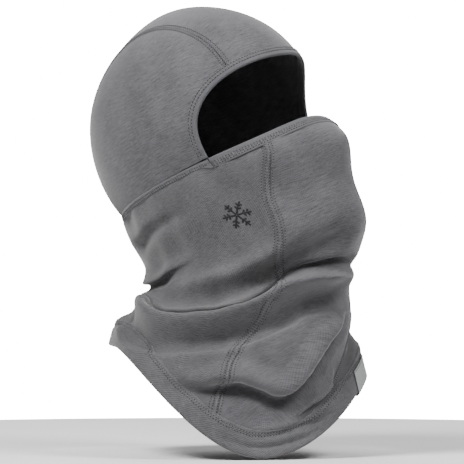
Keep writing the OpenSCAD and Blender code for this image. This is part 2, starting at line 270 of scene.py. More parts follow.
def shaded(name, roughness, sheen=0.0):
    """A new material with its shader's own even values set, and two short ways to add to it"""
    material = bpy.data.materials.new(name)
    material.use_nodes = True
    nodes, links = material.node_tree.nodes, material.node_tree.links
    shader = nodes["Principled BSDF"]
    shader.inputs["Roughness"].default_value = roughness
    shader.inputs["Specular IOR Level"].default_value = 0.25
    shader.inputs["Sheen Weight"].default_value = sheen
    shader.inputs["Sheen Roughness"].default_value = 0.45

    def add(kind, **values):
        node = nodes.new(kind)
        for key, value in values.items():
            if hasattr(node, key):
                setattr(node, key, value)
            else:
                node.inputs[key.replace("_", " ")].default_value = value
        return node

    def join(start, end):
        links.new(start, end)
        return end.node

    return material, shader, add, join


def ramp(add, join, source, *stops):
    """Colours spread between the stops, each a place from 0 to 1 and its colour"""
    node = add("ShaderNodeValToRGB")
    points = node.color_ramp.elements
    while len(points) < len(stops):
        points.new(0.5)
    for point, (place, colour) in zip(points, stops):
        point.position, point.color = place, (*colour, 1)
    join(source, node.inputs["Fac"])
    return node.outputs["Color"]


def noise(add, join, source, size, detail=2.0, roughness=0.55):
    """Even noise whose marks have the sizes given, in metres, on the map that comes in"""
    mapping = add("ShaderNodeMapping", Scale=[1 / s for s in size])
    join(source, mapping.inputs["Vector"])
    node = add("ShaderNodeTexNoise", Scale=1.0, Detail=detail, Roughness=roughness)
    join(mapping.outputs["Vector"], node.inputs["Vector"])
    return node.outputs["Fac"]


def weighed(add, join, first, second, share):
    node = add("ShaderNodeMix", data_type="FLOAT")
    node.inputs["Factor"].default_value = share
    join(first, node.inputs["A"])
    join(second, node.inputs["B"])
    return node.outputs["Result"]


def knit(name, dark, light, slub=(0.011, 0.0008), loop=0.0011, twill=0.0, depth=0.00016):
    """Heather jersey: light and dark fibres drawn out along the courses over fine columns of loops"""
    material, shader, add, join = shaded(name, 0.9, sheen=0.3)
    chart = add("ShaderNodeUVMap", uv_map="cloth").outputs["UV"]
    body = add("ShaderNodeTexCoord").outputs["Object"]
    slubs = noise(add, join, chart, (*slub, 1.0), detail=3.0, roughness=0.6)
    fibres = noise(add, join, chart, (slub[0] / 4, slub[1] / 2, 1.0), detail=2.0)
    clouds = noise(add, join, body, (0.03, 0.03, 0.03), detail=3.0)
    heather = weighed(add, join, weighed(add, join, slubs, fibres, 0.45), clouds, 0.22)
    turned = add("ShaderNodeMapping", Scale=(1 / loop, 1 / loop, 1), Rotation=(0, 0, twill))
    join(chart, turned.inputs["Vector"])
    columns = add("ShaderNodeTexWave", Scale=0.3, Distortion=0.8, Detail=1.0)
    join(turned.outputs["Vector"], columns.inputs["Vector"])
    loops = weighed(add, join, columns.outputs["Fac"], heather, 0.6 if twill else 0.85)
    tint = ramp(add, join, weighed(add, join, heather, columns.outputs["Fac"], 0.12 if twill else 0.05),
                (0.34, dark), (0.5, mix(np.array(dark), np.array(light), 0.5)), (0.66, light))
    join(tint, shader.inputs["Base Color"])
    bump = add("ShaderNodeBump", Strength=0.6, Distance=depth)
    join(loops, bump.inputs["Height"])
    join(bump.outputs["Normal"], shader.inputs["Normal"])
    return material


def seam_edge(distance, half):
    """A flatlocked edge: a low roll beside the joint and the groove that its outer thread pulls in"""
    return 0.0006 * bell(distance - 0.4 * half, 0.3 * half) - 0.0004 * bell(distance - half, 0.0005)


def shape_of_wear(places):
    """Slow unevenness of a worn cloth"""
    x, y, z = (places[..., k] for k in range(3))
    return (0.0007 * np.sin(95 * x + 40 * z + 0.5) * np.sin(70 * y - 55 * z + 1.2)
            + 0.0004 * np.sin(180 * x - 90 * y + 60 * z + 2.1))


crown_seam_half = 0.0022
hood_jersey = knit("heather_jersey", (0.031, 0.030, 0.034), (0.140, 0.137, 0.146))
push_back = ("neck", "hood", head_point(0, 0, 0.002), head_point(0, 0, 0.085))


def hood_grain(course, wale, places):
    """Courses that run level round the head"""
    f, l, u = (places @ axis for axis in (ahead, left, up))
    return 0.09 * np.arctan2(-l, f), 0.09 * np.arctan2(u - broadest_level, np.hypot(f, l))


crown_panel = cloth("crown_panel", crown, 170, 84, hood_jersey, dense=(0.3, 0.75),
                    finish="hood_knit", stretch=push_back,
                    relief=lambda a, b, c, d: seam_edge(c, crown_seam_half) + seam_edge(d, crown_seam_half),
                    grain=lambda course, wale, places: (wale, course))
hood_side_right = cloth("hood_side_right", side_right, 130, 104, hood_jersey, dense=(0.4, 0.7),
                        finish="hood_knit", stretch=push_back, grain=hood_grain,
                        relief=lambda a, b, c, d: seam_edge(c, crown_seam_half))
hood_side_left = cloth("hood_side_left", side_left, 130, 104, hood_jersey, dense=(0.4, 0.7),
                       finish="hood_knit", stretch=push_back, grain=hood_grain,
                        relief=lambda a, b, c, d: seam_edge(c, crown_seam_half))

# ----------------------------------------------------------------------------------------------
# Face panel and neck panel: the tube from the joining band to the hem, in two pieces joined by
# a flatlock seam down each side of the face. The neck piece has a finer, twilled knit. The cloth
# is longer than the neck, so it rolls and hangs over itself below the jaw.
# ----------------------------------------------------------------------------------------------
nose_reach, nose_drop, mouth_reach, mouth_drop = 0.115, 0.018, 0.106, 0.050
chin_reach, chin_drop = 0.100, 0.088
jaw_breadth, throat_breadth, neck_breadth, yoke_breadth = 0.136, 0.140, 0.150, 0.158
hem_turn = math.radians(15)
hem_breadth, hem_front_reach, hem_back_reach, hem_width = 0.200, 0.100, 0.088, 0.021
shoulder_drop, chest_drop, back_drop = 0.148, 0.076, 0.010
hem_centre, hem_corner, hem_flare, hem_lean = (0.006, -0.013), 0.8, 0.005, 0.009

nape, chin = head_point(-nape_reach, 0, 0), head_point(chin_reach, 0, -chin_drop)
straight_up = np.array((0.0, 0.0, 1.0))
half_band = band_breadth / 2
# Each ring has a front point, a back point, half its breadth, its sides' lift, its point and its up
rings = [
    (head_point(bridge_reach, 0, 0), nape, half_band, 0, 1, up),
    (head_point(nose_reach, 0, -nose_drop), nape + (0, 0, -0.009), half_band, 0, 1.12, up),
    (head_point(mouth_reach, 0, -mouth_drop), nape + (0.004, -0.004, -0.021), half_band - 0.002, 0, 1.12, up),
    (chin, nape + (0.010, -0.011, -0.035), jaw_breadth / 2, 0, 1.08, up),
    (chin + (-0.017, 0.010, -0.040), nape + (0.020, -0.019, -0.052), throat_breadth / 2, 0, 1, straight_up),
    (chin + (-0.020, 0.005, -0.068), nape + (0.016, -0.016, -0.068), neck_breadth / 2, 0.006, 1, straight_up),
    (chin + (-0.030, -0.006, -0.108), nape + (0.015, -0.012, -0.082), yoke_breadth / 2, 0.024, 1,
     straight_up)]
hem_top = len(rings)
centre_share = nape_reach / (nape_reach + bridge_reach)


def powered(x, power):
    return np.sign(x) * np.abs(x) ** power


def worn_ring(turn, front, back, half, side_lift, point, upwards):
    turn = turn[..., None]
    middle = mix(back, front, centre_share)
    side = np.cross(upwards, front - back)
    side = side / np.linalg.norm(side)
    tip = np.where(np.cos(turn) > 0, (front - middle) * powered(np.cos(turn), point),
                   (middle - back) * np.cos(turn))
    return (middle + tip - side * half * powered(np.sin(turn), point)
            + straight_up * side_lift * np.abs(np.sin(turn)) ** 1.5)


def hem_ring(turn, rise):
    a = turn - hem_turn
    reach = np.where(np.cos(a) > 0, hem_front_reach, hem_back_reach) - rise * hem_flare
    drop = np.where(np.cos(a) > 0, chest_drop, back_drop)
    return np.stack((
        hem_centre[0] - powered(np.sin(a), hem_corner) * (hem_breadth / 2 - rise * hem_flare),
        hem_centre[1] - powered(np.cos(a), hem_corner) * reach,
        rise * hem_width - shoulder_drop + hem_lean * np.sin(a) - drop * (1 - np.abs(np.sin(a)) ** 1.5)), -1)


def spline(a, b, c, d, x):
    return (b + x * (c - a) / 2 + x * x * (a - 2.5 * b + 2 * c - d / 2)
            + x * x * x * (1.5 * (b - c) + (d - a) / 2))


# The free edge stretches up over the bridge of the nose and lies close to it
bridge_turn, bridge_rise, bridge_sink = math.radians(32), 0.006, 0.005


def tube(turn, drop):
    """The smooth tube under the folds. drop counts the rings, with the hem from the last to one more"""
    turn, drop = np.broadcast_arrays(np.asarray(turn, float), np.asarray(drop, float))
    levels = [worn_ring(turn, *ring) for ring in rings] + [hem_ring(turn, 1), hem_ring(turn, 0)]
    levels = np.stack([2 * levels[0] - levels[1], *levels, levels[-1]])
    i = np.clip(np.floor(drop), 0, hem_top).astype(int)
    x = (drop - i)[..., None]
    bridge = bell(turn, bridge_turn)[..., None]
    bridge = bridge * (bridge_rise * bell(drop, 0.9)[..., None] * up
                       - bridge_sink * bell(drop, 1.3)[..., None] * ahead)
    a, b, c, d = (np.take_along_axis(levels, (i + k)[None, ..., None], 0)[0] for k in range(4))
    return bridge + np.where((i == hem_top)[..., None], mix(b, c, x), spline(a, b, c, d, x))


# The folds are laid on one fine grid of the tube, and every piece below the band is cut from it
turn_steps, drop_steps = 600, 48 * (hem_top + 1)
grid_turns = np.linspace(-math.pi, math.pi, turn_steps + 1)
grid_drops = np.linspace(0, hem_top + 1, drop_steps + 1)
smooth_tube = tube(*np.meshgrid(grid_turns, grid_drops))
tube_normals = outwards(smooth_tube, closed=True)


def drawn(line, count=260):
    """A smooth line through (turn in degrees, drop) points, listed from the wearer's right to left"""
    p = np.array(line, float)
    p = np.concatenate((2 * p[:1] - p[1:2], p, 2 * p[-1:] - p[-2:-1]))
    t = np.linspace(0, len(line) - 1, count)
    i = np.minimum(t.astype(int), len(line) - 2)
    return spline(p[i], p[i + 1], p[i + 2], p[i + 3], (t - i)[:, None])


def fold(line, width, rise, slide=0.0, lean=0.0, hollow=0.0, fade=(0.2, 0.2)):
    """How far one fold moves the cloth. The cloth rises on the line and slides down over it, so that
    it hangs over itself where it slides more than its width, and it sinks below into a hollow."""
    turns, drops = drawn(line).T
    spots = tube(np.radians(turns), drops)
    along = np.gradient(spots, axis=0)
    nudge = 0.01
    normal = np.cross(tube(np.radians(turns - 1), drops) - tube(np.radians(turns + 1), drops),
                      tube(np.radians(turns), drops - nudge) - tube(np.radians(turns), drops + nudge))
    across = np.cross(along, normal)
    across /= np.linalg.norm(across, axis=1, keepdims=True)
    reach = 3.5 * width + 2 * abs(lean)
    near = np.all((smooth_tube > spots.min(0) - reach) & (smooth_tube < spots.max(0) + reach), -1)
    places, normals = smooth_tube[near], tube_normals[near]
    closest = np.concatenate([
        np.argmin(((part[:, None] - spots) ** 2).sum(-1), 1) for part in np.array_split(places, 40)])
    offset = places - spots[closest]
    down = (offset * across[closest]).sum(-1)
    beside = np.linalg.norm(offset, axis=1)
    share = closest / (len(spots) - 1)
    strength = soft_step(share / max(fade[0], 1e-3)) * soft_step((1 - share) / max(fade[1], 1e-3))
    strength = strength * (beside < reach)
    lift_out = rise * bell(down - lean, width) - hollow * bell(down - lean - 2.2 * width, 1.4 * width)
    moved = np.zeros_like(smooth_tube)
    moved[near] = strength[:, None] * (
        normals * lift_out[:, None] + across[closest] * (slide * bell(down, width))[:, None])
    return moved


valley = [(150, 5.0), (119, 5.05), (97, 5.85), (83, 5.9), (72, 5.5), (60, 5.0), (49, 4.55), (39, 4.1),
          (32, 3.8), (22, 3.6), (8, 3.5), (-8, 3.45), (-30, 3.5), (-50, 3.7)]
folds = [
    # the thin ridge over the deep groove that runs from the nape to under the chin
    dict(line=valley[:9], width=0.0036, rise=0.0055, slide=0.0020, fade=(0.10, 0.5)),
    dict(line=[(t, d + 0.25) for t, d in valley], width=0.0042, rise=-0.0120, fade=(0.06, 0.25)),
    # the thick roll that stands out below the groove
    dict(line=[(t, d + 0.54) for t, d in valley], width=0.0075, rise=0.0130, slide=-0.0030, hollow=0.0085,
         fade=(0.06, 0.25)),
    # the hollow under the chin
    dict(line=[(62, 4.6), (48, 4.15), (39, 3.75), (30, 3.45), (18, 3.25), (5, 3.15), (-10, 3.15)],
         width=0.0095, rise=-0.0080, fade=(0.4, 0.3)),
    # the small fold that sticks out at the nape
    dict(line=[(160, 3.4), (140, 3.75), (126, 3.85), (116, 3.65), (108, 3.4), (98, 3.15), (88, 3.0)],
         width=0.0038, rise=0.0055, slide=0.005, hollow=0.002, fade=(0.15, 0.5)),
    # the hollow below the joining band at the back
    dict(line=[(150, 2.1), (133, 2.35), (116, 2.0), (106, 1.9), (92, 1.8), (80, 1.75)], width=0.006,
         rise=-0.0045, fade=(0.2, 0.5)),
    # the soft ridge that sweeps from the nape to under the jaw
    dict(line=[(112, 4.45), (95, 4.35), (79, 4.05), (67, 3.85), (58, 3.6), (50, 3.35), (42, 3.2)],
         width=0.007, rise=0.0045, hollow=0.0045, fade=(0.4, 0.3)),
    # the waist below the roll at the back
    dict(line=[(150, 5.9), (136, 6.0), (124, 6.15), (112, 6.5), (100, 6.75)], width=0.009, rise=-0.0060,
         fade=(0.25, 0.35)),
    # the bib of slack cloth that hangs over itself above the hem and up to the wearer's left
    dict(line=[(56, 6.98), (47, 6.80), (40, 6.52), (35, 6.40), (29, 6.37), (22, 6.36), (15.5, 6.36),
               (12, 6.15), (9, 5.80), (4, 5.45), (-3, 5.2), (-12, 4.98), (-22, 4.8)],
         width=0.0050, rise=0.0085, slide=0.0070, lean=-0.0015, hollow=0.0090, fade=(0.22, 0.2)),
    # crumples between the bib and the hem
    dict(line=[(9, 6.95), (3, 6.72), (-3, 6.62), (-9, 6.62), (-13, 6.4), (-14, 6.1)],
         width=0.0028, rise=0.0032, slide=0.003, hollow=0.002, fade=(0.25, 0.3)),
    dict(line=[(22, 7.0), (10, 6.93), (0, 6.95), (-10, 7.08), (-18, 7.2)], width=0.0028, rise=0.0022,
         slide=0.002, hollow=0.0015, fade=(0.35, 0.35)),
    # the crease where the neck meets the yoke
    dict(line=[(100, 6.7), (86, 6.8), (74, 6.95), (64, 6.95), (52, 6.85)], width=0.006, rise=-0.0035,
         fade=(0.3, 0.4)),
    # a lower roll behind, and its hollow
    dict(line=[(-60, 4.6), (-90, 4.9), (-120, 5.0), (-150, 4.7), (-178, 4.5)][::-1], width=0.0065, rise=0.006,
         slide=0.006, hollow=0.003, fade=(0.15, 0.2)),
    dict(line=[(-70, 3.3), (-100, 3.55), (-130, 3.7), (-165, 3.5)][::-1], width=0.005, rise=0.0045,
         slide=0.004, hollow=0.002, fade=(0.25, 0.3)),
    dict(line=[(-45, 6.4), (-75, 6.5), (-105, 6.3), (-135, 6.1)][::-1], width=0.006, rise=0.004, hollow=0.003,
         fade=(0.3, 0.4)),
    # the curl of the hem at the front
    dict(line=[(34, 7.72), (20, 7.62), (8, 7.6), (-4, 7.72), (-14, 7.85)], width=0.0030, rise=-0.0022,
         fade=(0.4, 0.4))]

worn_tube = smooth_tube + sum(fold(**shape) for shape in folds)
settled = soft_step((grid_drops / 0.9))[:, None] * soft_step((hem_top + 0.9 - grid_drops) / 0.8)[:, None]
worn_tube += tube_normals * (shape_of_wear(smooth_tube * 1.3) * 1.2 * settled)[..., None]
for _ in range(4):
    middle = worn_tube[1:-1]
    around = (np.roll(middle, 1, 1) + np.roll(middle, -1, 1) + worn_tube[2:] + worn_tube[:-2]) / 4
    worn_tube[1:-1] = mix(middle, around, 0.5)
worn_tube[:, 0] = worn_tube[:, -1]
worn_normals = outwards(worn_tube, closed=True)


def worn(turn, drop, height=0.0):
    """A place on the worn cloth, at a height above its middle"""
    turn, drop, height = np.broadcast_arrays(*(np.asarray(v, float) for v in (turn, drop, height)))
    x = (turn + math.pi) % (2 * math.pi) / (2 * math.pi) * turn_steps
    y = drop / (hem_top + 1) * drop_steps
    i, j = np.minimum(x.astype(int), turn_steps - 1), np.clip(y.astype(int), 0, drop_steps - 1)
    x, y = (x - i)[..., None], (y - j)[..., None]
    spot, normal = (mix(mix(g[j, i], g[j, i + 1], x), mix(g[j + 1, i], g[j + 1, i + 1], x), y)
                    for g in (worn_tube, worn_normals))
    return spot + normal * height[..., None]


def pace(turn, drop, probe=0.02):
    """The length of one ring's drop down the smooth tube"""
    return np.linalg.norm(tube(turn, drop + probe) - tube(turn, drop), axis=-1) / probe


edge_band_width, joining_width, folded = 0.010, 0.006, 0.0028


def band_width(turn):
    behind = (np.abs((turn + math.pi) % (2 * math.pi) - math.pi) - corner_turn) / math.radians(6)
    return mix(edge_band_width, joining_width, soft_step(behind))


def seam_turn(turns, share):
    """The turn of a face seam a share of the way down, in radians"""
    last = len(turns) - 1
    i = np.clip(np.floor(share * last), 0, last - 1).astype(int)
    t = np.radians(turns)
    return spline(t[np.maximum(0, i - 1)], t[i], t[i + 1], t[np.minimum(last, i + 2)], share * last - i)


right_seam_turns = np.array((41, 46, 48, 48, 35, 42, 45, 31))
left_seam_turns = np.array((-41, -46, -48, -46, -41, -36, -28, -18))
under_band = 0.0012


def below_band(turn, share):
    """The drop of a place a share of the way from under the band to the hem's top edge"""
    top = (band_width(turn) - under_band) / pace(turn, 0)
    return mix(top, hem_top + 0.02, share)


face_seam_half = 0.0034


def panel(near_turns, far_turns, wrap):
    half_gap = -seam_lap / half_band

    def place(a, b):
        near = seam_turn(near_turns, b) + half_gap
        far = seam_turn(far_turns, b) + wrap - half_gap
        turn = mix(near, far, a)
        return worn(turn, below_band(turn, b))
    return place


neck_twill = knit("heather_twill", (0.034, 0.033, 0.036), (0.125, 0.123, 0.128), slub=(0.005, 0.0009),
                  loop=0.0013, twill=math.radians(52), depth=0.00022)
pull_down_start = head_point(0.040, 0, 0)
pull_down = ("neck", "face_cover", pull_down_start, pull_down_start + 0.047 * ahead + 0.017 * up)


def face_seam_edges(a, b, c, d):
    """The sunk edges of a panel along its two face seams"""
    return seam_edge(a, face_seam_half) + seam_edge(b, face_seam_half)


face_panel = cloth("face_panel", panel(left_seam_turns, right_seam_turns, 0), 96, 250, hood_jersey,
                   dense=(0.7, 0.0), relief=face_seam_edges,
                   finish="hood_knit", stretch=pull_down)
neck_panel = cloth("neck_panel", panel(right_seam_turns, left_seam_turns, 2 * math.pi), 180, 250, neck_twill,
                   dense=(0.6, 0.0), relief=face_seam_edges,
                   finish="neck_knit", stretch=pull_down)

# ----------------------------------------------------------------------------------------------
# Eye opening: a binding folded over a flat elastic tape and coverstitched down all round the
# opening. Its two leaves take in the edges of the crown and side panels.
# ----------------------------------------------------------------------------------------------
leaf, leaf_height = 0.0007, 0.00105


def above(skin, a, down, height):
    """A place at a height over a skin of places"""
    step, nudge = 1e-4, 1e-5
    across = skin(a + step, down) - skin(a - step, down)
    along = skin(a, down + nudge) - skin(a, down - nudge)
    normal = np.cross(across, along)
    return skin(a, down) + normal / np.linalg.norm(normal, axis=-1, keepdims=True) * height[..., None]


def folded_leaf(width, b, grooves=(), inner=1.0, settle=0.0004):
    """The section of a binding, from the free edge of its inner leaf round the fold to the outer one.
    inner is the share of the width that the inner leaf covers."""
    inner_run, bend, outer_run = width * inner - leaf_height, math.pi * leaf_height, width - leaf_height
    s = b * (inner_run + bend + outer_run)
    angle = np.clip((s - inner_run) / leaf_height, 0, math.pi)
    outer = np.maximum(0, s - inner_run - bend)
    down = np.where(s < inner_run, width * inner - s, leaf_height * (1 - np.sin(angle)))
    down = np.where(outer > 0, leaf_height + outer, down)
    height = -leaf_height * np.cos(angle)
    height = height - settle * soft_step((down - width + 0.0012) / 0.0012) * (outer > 0)
    for groove in grooves:
        height = height - 0.00022 * bell(down - groove, 0.0004) * (outer > 0)
    return down, height


def binding(name, skin, width, columns, rows, material, grooves=(), inner=1.0, **hold):
    """A folded strip swept along a skin of places"""
    def place(a, b):
        down, height = folded_leaf(width, b, grooves, inner)
        return above(skin, a, down, height)
    return cloth(name, place, columns, rows, material, wall=leaf, **hold)


corner_gap = 0.0105  # the bearing at which the binding stops short of an eye corner


def opening_edge(a, down):
    return hood(*arch(mix(corner_gap, math.pi - corner_gap, a), down))


def lined(skin, a, down, height, pitch):
    """Evenly spaced stitch centres along a skin, with the way that each one points and its upright"""
    places = above(skin, a, np.broadcast_to(down, a.shape), np.broadcast_to(height, a.shape))
    length = np.concatenate(([0], np.cumsum(np.linalg.norm(np.diff(places, axis=0), axis=1))))
    count = int(length[-1] / pitch)
    at = (np.arange(count) + 0.5) * length[-1] / count
    shares = np.interp(at, length, a)
    step = 1e-3
    centre, before, after = (above(skin, shares + k * step, np.full(count, down), np.full(count, height))
                             for k in (0, -1, 1))
    higher = above(skin, shares, np.full(count, down), np.full(count, height + 1e-3))
    return centre, after - before, higher - centre


def stitch(bm, centre, way, upward, length, width, height, kind=0):
    """One thread of a stitch: a spindle that dips into the cloth at both ends. A dark spindle of painted
    shade, standing for the shade in needle holes, is of kind 1
    """
    way = Vector(way).normalized()
    side = Vector(upward).cross(way).normalized()
    frame_of_stitch = Matrix((way * length, side * width, way.cross(side) * height)).transposed().to_4x4()
    frame_of_stitch.translation = Vector(centre)
    made = bmesh.ops.create_uvsphere(bm, u_segments=5, v_segments=4, radius=0.5,
                                     matrix=frame_of_stitch @ Matrix.Rotation(math.pi / 2, 4, "Y"))
    for vert in made["verts"] if kind else ():
        for face in vert.link_faces:
            face.material_index = kind


# The middle sizes are for the dark spindles of painted shade that stand for the shade in needle holes
needle_thread, painted_hole_shade, looper_thread = (0.62, 0.00060, 0.00060), (0.46, 0.00095, 0.00050), 0.00038


def stitching(name, rows, pitch, materials, crossed=(), **hold):
    """Rows of stitches, each row a skin, its shares, and a place down and a height in metres, with a dark
    spindle of painted shade for the shade in the needle holes between each two. crossed names pairs of rows
    that a looper thread crosses between."""
    lines = [lined(*row, pitch) for row in rows]
    threads = []
    for line in lines:
        for centre, way, upward in zip(*line):
            threads.append((centre, way, upward, pitch * needle_thread[0], *needle_thread[1:]))
            # between each stitch and the next, a dark spindle of painted shade for the shade in the needle
            # holes
            beside = centre + way / np.linalg.norm(way) * pitch / 2
            threads.append((beside, way, upward, pitch * painted_hole_shade[0], *painted_hole_shade[1:], 1))
    for one, other in crossed:
        starts, ends = lines[one][0], lines[other][0]
        for k in range(min(len(starts), len(ends)) - 1):
            for start, end in ((starts[k], ends[k + 1]), (ends[k], starts[k + 1])):
                upward = lines[one][2][k]
                threads.append(((start + end) / 2, end - start, upward, float(np.linalg.norm(end - start)),
                                looper_thread, looper_thread))
    bm, run = bmesh.new(), bpy.data.meshes.new("run_of_stitches")
    for k in range(0, len(threads), 40):
        short = bmesh.new()
        for thread in threads[k:k + 40]:
            stitch(short, *thread)
        short.to_mesh(run)
        short.free()
        bm.from_mesh(run)
    bpy.data.meshes.remove(run)
    return finished(name, bm, materials, **hold)


def spun(name, colour, rough=0.75):
    """Textured sewing thread, with the slight unevenness of its plies"""
    material, shader, add, join = shaded(name, rough, sheen=0.15)
    body = add("ShaderNodeTexCoord").outputs["Object"]
    plies = noise(add, join, body, (0.0020, 0.0020, 0.0020), detail=1.0)
    dark, pale = (tuple(c * share for c in colour) for share in (0.7, 1.3))
    tint = ramp(add, join, plies, (0.3, dark), (0.7, pale))
    join(tint, shader.inputs["Base Color"])
    return material


def webbing(name, colour, ribs=0.0009):
    """Knitted elastic tape: pale cords side by side along the tape, crossed by fine picks"""
    material, shader, add, join = shaded(name, 0.7, sheen=0.1)
    chart = add("ShaderNodeUVMap", uv_map="cloth").outputs["UV"]
    mapping = add("ShaderNodeMapping", Scale=(0.25 / ribs, 1 / ribs, 1))
    join(chart, mapping.inputs["Vector"])
    cords = add("ShaderNodeTexWave", bands_direction="Y", Scale=0.3, Distortion=0.4)
    join(mapping.outputs["Vector"], cords.inputs["Vector"])
    tint = ramp(add, join, cords.outputs["Fac"], (0.2, tuple(c * 0.7 for c in colour)), (0.8, colour))
    join(tint, shader.inputs["Base Color"])
    bump = add("ShaderNodeBump", Strength=0.5, Distance=0.0002)
    join(cords.outputs["Fac"], bump.inputs["Height"])
    join(bump.outputs["Normal"], shader.inputs["Normal"])
    return material


binding_jersey = knit("binding_jersey", (0.050, 0.050, 0.055), (0.122, 0.121, 0.129), slub=(0.004, 0.0006),
                      depth=0.0001)
# The second material, near black, is painted shade for the spindles between the stitches
seam_thread = [spun("seam_thread", (0.130, 0.128, 0.135)), spun("painted_needle_shade", (0.016, 0.016, 0.017))]
elastic_tape = webbing("elastic_tape", (0.72, 0.72, 0.69))
cover_rows = (0.0037, 0.0063)
full = np.linspace(0.004, 0.996, 900)

binding("eye_opening_binding", opening_edge, binding_width, 320, 30, binding_jersey,
        grooves=cover_rows, finish="binding", stretch=push_back)
tape_rows = (0.0014, 0.0065)
cloth("eye_opening_elastic", lambda a, b: opening_edge(a, mix(*tape_rows, b)), 320, 4,
      elastic_tape, wall=0.0007, finish="elastic", stretch=push_back)
outer_face = folded / 2
stitching(
    "eye_opening_stitching", [(opening_edge, full, down, outer_face) for down in cover_rows], 0.0026,
    seam_thread, crossed=[(0, 1)], finish="thread", stretch=push_back)

# ----------------------------------------------------------------------------------------------
# Crown stitching: a flatlock of four needle threads along each joint between the crown panel and
# a side panel, covered across by looper threads from the binding back to the nape.
# ----------------------------------------------------------------------------------------------
def flatlock(joint, shares, half):
    """Four rows: two in the outer grooves, and two on the roll beside the joint"""
    return [(joint, shares, side * down, fabric / 2 + over)
            for down, over in ((half, 0.0), (0.4 * half, 0.0005)) for side in (1, -1)]


def crown_joint(side):
    return lambda a, down: crown(a, (1 + side) / 2 + down / crown_front_width)


for side, name in ((1, "crown_stitching_right"), (-1, "crown_stitching_left")):
    joint = crown_joint(side)
    rows_here = flatlock(joint, full * 0.99, crown_seam_half)
    stitching(name, rows_here, 0.0022, seam_thread, crossed=[(2, 3)], finish="thread", stretch=push_back)

# ----------------------------------------------------------------------------------------------
# Face seam stitching: the same flatlock down each joint of the face and neck panels, from the
# face edge to the hem. It is wider than the flatlock on the crown.
# ----------------------------------------------------------------------------------------------


def face_joint(turns):
    def place(a, down):
        turn = seam_turn(turns, a) - down / half_band
        return worn(turn, below_band(turn, a))
    return place


for turns, name in ((right_seam_turns, "face_seam_stitching_right"),
                    (left_seam_turns, "face_seam_stitching_left")):
    joint = face_joint(turns)
    rows_here = flatlock(joint, full, face_seam_half)
    stitching(name, rows_here, 0.0022, seam_thread, crossed=[(2, 3)], finish="thread", stretch=pull_down)

# ----------------------------------------------------------------------------------------------
# Face edge band: the top edge of the face cover, folded over its own elastic tape and held by
# two coverstitches. It is free between the eye corners, so that the cover can be pulled down.
# ----------------------------------------------------------------------------------------------


def band_place(turn, down):
    return tube(turn, down / pace(turn, 0))


free_end = corner_turn - math.radians(0.15)


def face_edge(a, down):
    return band_place(mix(-free_end, free_end, a), down)


edge_rows = (0.0045, 0.0062, 0.0080)
binding("face_edge_band", face_edge, edge_band_width, 300, 34, binding_jersey,
        grooves=edge_rows, inner=0.85, finish="binding", stretch=pull_down)
cloth("face_edge_elastic", lambda a, b: face_edge(a, mix(0.0014, 0.0082, b)), 300, 4,
      elastic_tape, wall=0.0007, finish="elastic", stretch=pull_down)
stitching(
    "face_edge_stitching", [(face_edge, full, down, outer_face) for down in edge_rows], 0.0024, seam_thread,
    crossed=[(0, 1), (1, 2)], finish="thread", stretch=pull_down)

# ----------------------------------------------------------------------------------------------
# Joining band: the strip that joins the hood to the neck from one eye corner round the nape to
# the other. It stands up as a narrow double ridge, with a coverstitch along its lower edge.
# ----------------------------------------------------------------------------------------------
joining_start = corner_turn + math.radians(0.3)


def joining(a, down):
    turn = mix(joining_start, 2 * math.pi - joining_start, a)
    return band_place(turn, down)


def joining_section(a, b):
    """A flat strip with two ridges and a groove, closed round its back"""
    angle = 2 * math.pi * b
    down = joining_width / 2 * (1 - powered(np.cos(angle), 0.7))
    height = folded / 2 * powered(np.sin(angle), 0.55)
    outer = np.sin(angle) > 0
    height = height - outer * (0.0007 * bell(down - 0.0031, 0.0005) + 0.0002 * bell(down - 0.0046, 0.0004))
    wide = band_width(mix(joining_start, 2 * math.pi - joining_start, a)) / joining_width
    return above(joining, a, down * wide, height)


cloth("joining_band", joining_section, 420, 44, binding_jersey, wall=0, finish="binding",
      body="neck")
stitching(
    "joining_stitching", [(joining, full, down, outer_face - 0.0001) for down in (0.0031, 0.0047)], 0.0024,
    seam_thread, crossed=[(0, 1)], finish="thread", body="neck")

# ----------------------------------------------------------------------------------------------
# Bottom hem: the neck's lower edge turned under once and coverstitched along its top, all the
# way round the shoulders. It lies on whatever is worn below it.
# ----------------------------------------------------------------------------------------------


def hem_place(turn, down):
    return worn(turn, hem_top + down / pace(turn, hem_top + 0.5))


def hem_strip(a, down):
    return hem_place(2 * math.pi * a, down)


hem_rows = (0.0016, 0.0040)
hem_overlap = 0.0008


def hem_section(a, b):
    whole = hem_width + hem_overlap
    down, height = folded_leaf(whole, b, [whole - row for row in hem_rows], inner=0.97)
    return above(hem_strip, a, hem_width - down, height)


bottom_hem = cloth("bottom_hem", lambda a, b: hem_section(a, 1 - b), 640, 56, neck_twill, wall=leaf,
                   closed=True, finish="neck_knit", body="neck")
stitching(
    "hem_stitching", [(hem_strip, np.linspace(0, 1, 1400), down, outer_face) for down in hem_rows], 0.0024,
    seam_thread, crossed=[(0, 1)], finish="thread", body="neck")

# ----------------------------------------------------------------------------------------------
# Loop label: a woven tape folded round the hem's lower edge and sewn through along its top. It
# is left blank, a plain fine weave without a border.
# ----------------------------------------------------------------------------------------------
label_width, label_height, label_tape, label_gap = 0.028, 0.018, 0.0005, 0.00085
label_turn = -math.radians(47)
label_half = label_width / 2 / hem_front_reach
label_face = folded / 2 + label_gap + label_tape / 2


def label_place(a, down):
    return hem_place(mix(label_turn - label_half, label_turn + label_half, a), down)


def label_section(a, b):
    """Down the back, round the hem's edge and up the front"""
    run, bend = label_height - label_gap, math.pi * label_face
    s = b * (2 * run + bend)
    angle = np.clip((s - run) / label_face, 0, math.pi)
    down = np.where(s < run, hem_width - run + s, hem_width + label_face * np.sin(angle) * 0.8)
    down = np.where(s > run + bend, hem_width - (s - run - bend), down)
    return above(label_place, a, down, -label_face * np.cos(angle))


